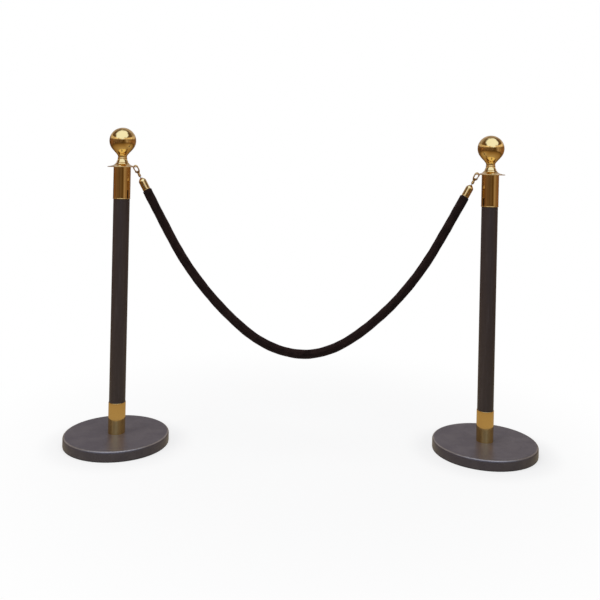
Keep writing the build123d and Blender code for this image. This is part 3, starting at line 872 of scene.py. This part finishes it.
for side in SIDES:
    cap_inner = CAP_R - CAP_WALL
    dome = curve(
        (CAP_R, CAP_SHOULDER), (CAP_R, CAP_SHOULDER + SHOULDER_PULL),
        (DOME_PULL[0], CAP_TOP + DOME_PULL[1]), (DOME_END[0], CAP_TOP + DOME_END[1]), 18)
    cap_outline = [
        (cap_inner, CAP_MOUTH + CAP_LIP_EASE),
        (cap_inner + CAP_LIP_EASE, CAP_MOUTH),
        *arc((CAP_R - CAP_LIP_SINK, CAP_MOUTH + CAP_LIP_R), CAP_LIP_R, -80, 55, 8),
        *stretch((CAP_R, CAP_MOUTH + CAP_LIP_TOP), (CAP_R, CAP_SHOULDER), 14),
        *dome[1:],
        (CAP_FLAT_R, CAP_TOP),
        (STEM_BORE_R, CAP_TOP),
        (STEM_BORE_R, STEM_SEAT),
        (STEM_SEAT_R, STEM_SEAT),
        *stretch((STEM_SEAT_R, STEM_SEAT - SEAT_EASE), (cap_inner, INNER_SHOULDER), 6)[1:],
    ]
    cap = turned("cap", cap_outline, Matrix(), steps=112)
    drilled(cap, [cross_drill((0.0, CAP_PIN_Z), CAP_PIN_HOLE_R, CAP_PIN_REACH)])
    # The cleared axes go, so that the finished cap keeps its true ones.
    cap.data.attributes.remove(cap.data.attributes["own"])
    cap = refinished(f"{side}_spun_end_cap", cap, hook_frame(side))
    dress(cap, cap_brass)
    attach(cap, "rope")
    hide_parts(f"{side}_ferrule")
    for small in ("ferrule_pin", "swivel_stem"):
        dress(frame["nodes"][f"{side}_{small}"], zinc_finish)


# ---- Velvet rope ------------------------------------------------------------------------------------
# A 1.5 m cotton core in a sewn sleeve of near black velvet, 29 mm across. It hangs from its two end caps
# under its own weight, and its pile is brushed along the rope and gathered in at each cap.

ROPE_R, ROPE_LENGTH = 0.0145, 1.50
ROPE_ROUTE = [
    (-0.5055, 0.8045),
    (-0.4520, 0.7038),
    (-0.3840, 0.5830),
    (-0.3030, 0.4780),
    (-0.2220, 0.3960),
    (-0.1470, 0.3360),
    (-0.0700, 0.3010),
    (0.0100, 0.2890),
    (0.0870, 0.3060),
    (0.1580, 0.3450),
    (0.2310, 0.4040),
    (0.3050, 0.4780),
    (0.3820, 0.5790),
    (0.4501, 0.7003),
    (0.5055, 0.8045),
]
RING_SPACING, RING_SIDES = 0.0022, 72
END_ROUND, PILE_SINK = 0.0040, 0.0002
GATHER_REACH, GATHER_DEPTH, GATHERS = 0.016, 0.00042, 13
SEAM_ANGLE, SEAM_SPREAD, SEAM_DEPTH = 2.2, 0.07, 0.00035


def route_line(points):
    """The rope's centre line, read from one smooth spline through its route."""
    line = bpy.data.curves.new("rope_line", "CURVE")
    line.dimensions = "3D"
    spline = line.splines.new("NURBS")
    spline.points.add(len(points) - 1)
    for control, (x, z) in zip(spline.points, points):
        control.co = (x, 0.0, z, 1.0)
    spline.order_u = 3
    spline.use_endpoint_u = True
    spline.resolution_u = 48
    holder = placed("rope_line", line)
    mesh = bpy.data.meshes.new_from_object(holder)
    found = [v.co.copy() for v in mesh.vertices]
    bpy.data.objects.remove(holder)
    return found


def evenly(points, spacing):
    """The same line with its points a fixed distance apart."""
    reach = [0.0]
    for a, b in zip(points, points[1:]):
        reach.append(reach[-1] + (b - a).length)
    count = round(reach[-1] / spacing)
    out, k = [], 0
    for i in range(count + 1):
        want = reach[-1] * i / count
        while k < len(points) - 2 and reach[k + 1] < want:
            k += 1
        part = (want - reach[k]) / max(reach[k + 1] - reach[k], 1e-12)
        out.append(points[k].lerp(points[k + 1], min(max(part, 0.0), 1.0)))
    return out, reach[-1]


def velvet(name):
    """Short upright pile: near black, with a soft warm sheen, brushed streaks and a trace of lint."""
    material, tree, shader = new_finish(name)
    lie = stored(tree, "lie")
    brushed = add(tree, "ShaderNodeMapping", {"Vector": lie, "Scale": (0.16, 1.0, 1.0)})
    streak = noise(tree, brushed.outputs[0], 230.0, 5.0, 0.6)
    tufts = noise(tree, lie, 2600.0, 2.0)
    lint = ramp(tree, cells(tree, lie, 210.0), [(0.035, 1.0), (0.06, 0.0)])
    streak_part = sums(tree, "MULTIPLY", streak, 0.6)
    crush_part = sums(tree, "MULTIPLY", noise(tree, lie, 34.0, 3.0), 0.4)
    tone = ramp(tree, sums(tree, "ADD", streak_part, crush_part), [
        (0.34, (0.0058, 0.0030, 0.0026, 1.0)), (0.66, (0.0250, 0.0130, 0.0112, 1.0))]).outputs[0]
    tone = blend_colour(tree, sums(tree, "MULTIPLY", lint.outputs[0], 0.16), tone, (0.30, 0.27, 0.25, 1.0))
    relief = sums(tree, "ADD", sums(tree, "MULTIPLY", tufts, 0.5), streak)
    fill(tree, shader, {
        "Base Color": tone, "Roughness": 0.95, "Specular IOR Level": 0.15,
        "Normal": bumped(tree, relief, 0.55, 0.0004),
        "Sheen Weight": 0.22, "Sheen Roughness": 0.38, "Sheen Tint": (0.55, 0.36, 0.30, 1.0)})
    return material


def pile_radius(along, total, angle):
    """The sleeve's radius: soft lumps, a sewn seam underneath, and gathers and a round-over at the caps."""
    from_end = min(along, total - along)
    near = math.exp(-from_end / GATHER_REACH)
    lumps = 0.00022 * math.sin(along * 61.0 + 1.3 * math.sin(angle))
    lumps += 0.00016 * math.sin(along * 143.0 + 2.0 * math.cos(angle))
    gathers = GATHER_DEPTH * near * math.sin(GATHERS * angle + 2.0 * math.sin(along * 90.0))
    seam = -SEAM_DEPTH * math.exp(-((math.sin((angle - SEAM_ANGLE) / 2)) / SEAM_SPREAD) ** 2)
    round_over = 0.0
    if from_end < END_ROUND:
        round_over = END_ROUND * (1 - math.sqrt(1 - (1 - from_end / END_ROUND) ** 2))
    return ROPE_R - PILE_SINK + lumps + gathers + seam - round_over


centre_line, rope_reach = evenly(route_line(ROPE_ROUTE), RING_SPACING)
rope_shape = bmesh.new()
rope_rings, lie_of = [], []
last = len(centre_line) - 1
for i in range(last + 1):
    along, turn = rope_reach * i / last, round_angles(RING_SIDES)
    radii = [pile_radius(along, rope_reach, a) for a in turn]
    rope_rings.append(ring_round(rope_shape, centre_line, i, radii))
    lie_of += [(along, ROPE_R * math.cos(a), ROPE_R * math.sin(a)) for a in turn]
for lower, upper in zip(rope_rings, rope_rings[1:]):
    skin(rope_shape, lower, upper)
for ring, at, into in ((rope_rings[0], centre_line[0], 1), (rope_rings[-1], centre_line[-1], -1)):
    middle = rope_shape.verts.new(at)
    lie_of.append((0.0 if into == 1 else rope_reach, 0.0, 0.0))
    for k in range(RING_SIDES):
        rope_shape.faces.new([middle, ring[k], ring[(k + 1) % RING_SIDES]][::into])
rope_mesh = mesh_of("velvet_rope", rope_shape)
lie_attribute = rope_mesh.attributes.new("lie", "FLOAT_VECTOR", "POINT")
for i, value in enumerate(lie_of):
    lie_attribute.data[i].vector = value
rope = finished("velvet_rope", rope_mesh, Matrix(), sharp=60.0)
dress(rope, velvet("dark_velvet"))
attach(rope, "rope")
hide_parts("rope_cover", "rope_core")


# ---- Studio -----------------------------------------------------------------------------------------
# A pale floor that runs out to white, two soft lights, and a warm room for the brass to mirror. The camera
# stands a little below the balls, in front of the middle of the rope, and looks straight ahead.

FLOOR_R = 3.2
FLOOR_FADE, FLOOR_LIFT = (0.40, 1.30), 0.84
POST_SHADE_REACH, POST_SHADE_LIFT = 0.27, 0.80
FLOOR_REFLECTION_REACH = 3.0
POST_X = 0.585

floor_shape = bmesh.new()
bmesh.ops.create_circle(floor_shape, cap_ends=True, segments=128, radius=FLOOR_R)
floor_mesh = bpy.data.meshes.new("floor")
floor_shape.to_mesh(floor_mesh)
floor_shape.free()
floor = placed("floor", floor_mesh)
floor_material = bpy.data.materials.new("pale_floor")
floor_material.use_nodes = True
floor_tree = floor_material.node_tree
floor_shader = floor_tree.nodes["Principled BSDF"]
fill(floor_tree, floor_shader, {
    "Base Color": (0.88, 0.88, 0.88, 1.0), "Roughness": 0.9, "Specular IOR Level": 0.0})

# The camera sees the floor lifted towards white: wholly so far out, and less close round each post, which
# lets the rendered shadow show there and also paints a faint darker halo of shade round each base.
floor_place = add(floor_tree, "ShaderNodeTexCoord").outputs["Object"]
floor_reach = add(floor_tree, "ShaderNodeVectorMath", {0: floor_place}, operation="LENGTH").outputs["Value"]
floor_fade = rise(floor_tree, floor_reach, *FLOOR_FADE, low=FLOOR_LIFT, easing="SMOOTHSTEP")
floor_paths = add(floor_tree, "ShaderNodeLightPath")
from_posts = []
for post_x in (-POST_X, POST_X):
    from_post = add(
        floor_tree, "ShaderNodeVectorMath", {0: floor_place, 1: (post_x, 0.0, 0.0)}, operation="DISTANCE")
    from_posts.append(from_post.outputs["Value"])
post_reach = sums(floor_tree, "MINIMUM", *from_posts)
# Painted shade: the lift drops round each post, darkening the floor there.
painted_post_shade = rise(floor_tree, post_reach, BASE_R, POST_SHADE_REACH, low=POST_SHADE_LIFT, easing="SMOOTHERSTEP")
floor_lift = sums(floor_tree, "MULTIPLY", floor_fade, painted_post_shade)
floor_lift = sums(floor_tree, "MULTIPLY", floor_lift, floor_paths.outputs["Is Camera Ray"])
floor_glow = add(floor_tree, "ShaderNodeEmission", {"Color": (1.0, 1.0, 1.0, 1.0), "Strength": 1.0})
floor_mix = add(floor_tree, "ShaderNodeMixShader", {
    0: floor_lift, 1: floor_shader.outputs[0], 2: floor_glow.outputs[0]})

# Glossy rays see the floor glow warm, falling away from each post: a painted reflection of a shop floor for
# the brass to mirror.
painted_floor_reflection = ramp(floor_tree, sums(floor_tree, "DIVIDE", post_reach, FLOOR_REFLECTION_REACH), [
    (0.10, (0.47, 0.39, 0.27, 1.0)),
    (0.24, (0.38, 0.28, 0.16, 1.0)),
    (0.47, (0.26, 0.17, 0.08, 1.0)),
    (0.72, (0.12, 0.075, 0.035, 1.0)),
])
floor_reflection_glow = add(floor_tree, "ShaderNodeEmission", {"Color": painted_floor_reflection.outputs[0], "Strength": 1.0})
floor_seen = add(floor_tree, "ShaderNodeMixShader", {
    0: floor_paths.outputs["Is Glossy Ray"], 1: floor_mix.outputs[0], 2: floor_reflection_glow.outputs[0]})
floor_tree.links.new(floor_seen.outputs[0], floor_tree.nodes["Material Output"].inputs["Surface"])
dress(floor, floor_material)

# The room: a warm band at eye level that varies with the bearing, and a bright ledge above it.
EYE_BAND = [
    (0.00, (0.22, 0.15, 0.11, 1.0)),
    (0.17, (0.13, 0.07, 0.035, 1.0)),
    (0.23, (0.22, 0.11, 0.06, 1.0)),
    (0.30, (0.18, 0.11, 0.07, 1.0)),
    (0.36, (0.19, 0.13, 0.09, 1.0)),
    (0.42, (0.14, 0.09, 0.06, 1.0)),
    (0.49, (0.17, 0.12, 0.08, 1.0)),
    (0.56, (0.08, 0.045, 0.012, 1.0)),
    (0.595, (0.20, 0.14, 0.09, 1.0)),
    (0.64, (0.42, 0.34, 0.28, 1.0)),
    (0.69, (0.30, 0.21, 0.14, 1.0)),
    (0.77, (0.27, 0.145, 0.07, 1.0)),
    (1.00, (0.22, 0.15, 0.11, 1.0)),
]
LEDGE = [
    (0.535, (0.10, 0.06, 0.03, 1.0)),
    (0.585, (0.85, 0.74, 0.62, 1.0)),
    (0.620, (0.85, 0.74, 0.62, 1.0)),
    (0.650, (0.13, 0.085, 0.05, 1.0)),
    (0.80, (0.11, 0.07, 0.04, 1.0)),
    (1.00, (0.42, 0.44, 0.50, 1.0)),
]

world = bpy.data.worlds.new("room")
bpy.context.scene.world = world
world.use_nodes = True
room = world.node_tree
toward = add(room, "ShaderNodeTexCoord").outputs["Generated"]
way = add(room, "ShaderNodeSeparateXYZ", {0: toward})
elevation = sums(room, "MULTIPLY_ADD", sums(room, "ARCSINE", way.outputs["Z"]), 1 / math.pi, 0.5)
frontward = sums(room, "MULTIPLY", way.outputs["Y"], -1.0)
turned_by = sums(room, "ARCTAN2", way.outputs["X"], frontward)
bearing = sums(room, "MULTIPLY_ADD", turned_by, 1 / (2 * math.pi), 0.5)
eye_band = ramp(room, bearing, EYE_BAND)
ledge = ramp(room, elevation, LEDGE)
above_eyes = rise(room, elevation, 0.530, 0.575)
warm_room = blend_colour(room, above_eyes, eye_band.outputs[0], ledge.outputs[0])

# Behind the set stands the white backdrop, and things in the room break every reflection up a little.
behind = rise(room, way.outputs["Y"], 0.25, 0.75)
on_backdrop = sums(room, "MULTIPLY", behind, rise(room, elevation, 0.54, 0.60))
warm_room = blend_colour(room, on_backdrop, warm_room, (0.50, 0.46, 0.49, 1.0))
clutter_level = ramp(room, noise(room, toward, 4.5, 4.0, 0.6), [(0.36, 0.55), (0.50, 1.0), (0.64, 1.35)])
warm_room = blend_colour(room, 1.0, warm_room, clutter_level.outputs[0], "MULTIPLY")

# Cool daylight comes from high in front: a patch of sky with a ragged, soft edge.
DAYLIGHT_HEIGHT, DAYLIGHT_CORE, DAYLIGHT_EDGE = math.radians(60), math.radians(36), math.radians(50)
DAYLIGHT_WAY = (0.0, -math.cos(DAYLIGHT_HEIGHT), math.sin(DAYLIGHT_HEIGHT))
facing_sky = add(room, "ShaderNodeVectorMath", {0: toward, 1: DAYLIGHT_WAY}, operation="DOT_PRODUCT")
pane_shift = sums(room, "SUBTRACT", noise(room, toward, 2.6, 1.0, 0.4), 0.5)
ragged = sums(room, "MULTIPLY_ADD", pane_shift, 0.38, facing_sky.outputs["Value"])
in_sky = rise(room, ragged, math.cos(DAYLIGHT_EDGE), math.cos(DAYLIGHT_CORE), easing="SMOOTHSTEP")
seen_in_gloss = blend_colour(room, in_sky, warm_room, (1.06, 1.30, 1.85, 1.0))

# Only glossy rays see the room: the camera sees white, and the rest is lit by a faint cool ambient.
paths = add(room, "ShaderNodeLightPath")
ambient = add(room, "ShaderNodeBackground", {"Color": (0.92, 0.95, 1.0, 1.0), "Strength": 0.24})
mirrored = add(room, "ShaderNodeBackground", {"Color": seen_in_gloss, "Strength": 1.0})
backdrop = add(room, "ShaderNodeBackground", {"Color": (1.0, 1.0, 1.0, 1.0), "Strength": 1.0})
room_mix = add(room, "ShaderNodeMixShader", {
    0: paths.outputs["Is Glossy Ray"], 1: ambient.outputs[0], 2: mirrored.outputs[0]})
seen_mix = add(room, "ShaderNodeMixShader", {
    0: paths.outputs["Is Camera Ray"], 1: room_mix.outputs[0], 2: backdrop.outputs[0]})
room_out = next(n for n in room.nodes if n.bl_idname == "ShaderNodeOutputWorld")
room.links.new(seen_mix.outputs[0], room_out.inputs["Surface"])


def soft_light(name, place, aim, size, power, colour):
    """A rectangular lamp pointed at a place; the brass doesn't mirror it."""
    lamp = bpy.data.lights.new(name, "AREA")
    lamp.shape, lamp.size, lamp.size_y = "RECTANGLE", size[0], size[1]
    lamp.energy, lamp.color = power, colour
    holder = placed(name, lamp)
    holder.location = place
    holder.rotation_euler = (Vector(aim) - Vector(place)).to_track_quat("-Z", "Y").to_euler()
    holder.visible_glossy = False


soft_light(
    "overhead_softbox", place=(-0.2, -0.3, 3.1), aim=(0.0, 0.0, 0.0),
    size=(3.0, 2.4), power=66.0, colour=(1.0, 0.99, 1.0))
soft_light(
    "side_softbox", place=(-2.4, -1.2, 1.8), aim=(0.0, 0.0, 0.4),
    size=(1.2, 1.6), power=13.0, colour=(1.0, 0.98, 0.96))

CAMERA_PLACE = (-0.0132, -2.3515, 0.8974)
CAMERA_YAW, CAMERA_ROLL = 0.0030, 0.0218
SENSOR, LENS, LENS_SHIFT = 36.0, 44.4, -0.227
camera_data = bpy.data.cameras.new("eye_level_camera")
camera_data.sensor_width, camera_data.lens, camera_data.shift_y = SENSOR, LENS, LENS_SHIFT
camera = placed("eye_level_camera", camera_data)
camera.matrix_world = (
    Matrix.Translation(CAMERA_PLACE)
    @ Matrix.Rotation(CAMERA_YAW, 4, "Z")
    @ Matrix.Rotation(math.radians(90), 4, "X")
    @ Matrix.Rotation(CAMERA_ROLL, 4, "Z")
)
bpy.context.scene.camera = camera
bpy.context.scene.view_settings.view_transform = "Standard"
